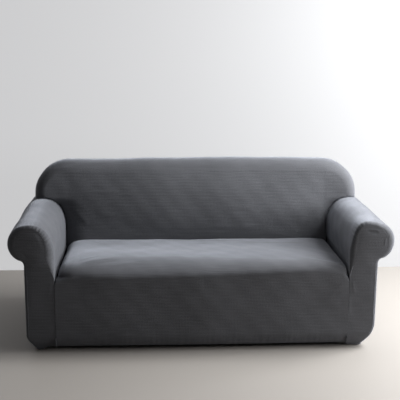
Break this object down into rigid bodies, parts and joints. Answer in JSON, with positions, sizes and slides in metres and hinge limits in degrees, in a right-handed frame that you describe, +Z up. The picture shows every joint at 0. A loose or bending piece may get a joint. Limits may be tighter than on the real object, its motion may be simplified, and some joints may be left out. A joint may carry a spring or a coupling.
{
  "type": "fitted sofa slipcover",
  "caption": "Hollow stretch slipcover in the shape of a roll-arm three-seat sofa, with tucks round the seat and an elastic hem drawn in over the feet.",
  "frame": {"origin": "on the floor under the middle of the cover: the middle of the bounding box's bottom face", "axes": "+X towards the right arm as seen by someone facing the front, along the cover's length; +Y towards the outside back; +Z up"},
  "size_m": [2, 0.88, 0.896],
  "materials": {
    "seat_cloth": "charcoal grey stretch jacquard with a fine raised check and a soft nap that lightens at a glancing view",
    "inside_back_cloth": "charcoal grey stretch jacquard with a fine raised check and a soft nap that lightens at a glancing view",
    "outside_back_cloth": "charcoal grey stretch jacquard with a fine raised check, pulled flat",
    "arm_cloth": "charcoal grey stretch jacquard with a fine raised check, gathered a little at the scroll seam",
    "scroll_cloth": "charcoal grey stretch jacquard with a fine raised check, pulled flat"
  },
  "bodies": {
    "root": {"seat_apron": "seat_cloth", "back_front": "inside_back_cloth", "back_rear": "outside_back_cloth", "arm_left": "arm_cloth", "arm_right": "arm_cloth", "arm_front_left": "scroll_cloth", "arm_front_right": "scroll_cloth"}
  },
  "joints": []
}
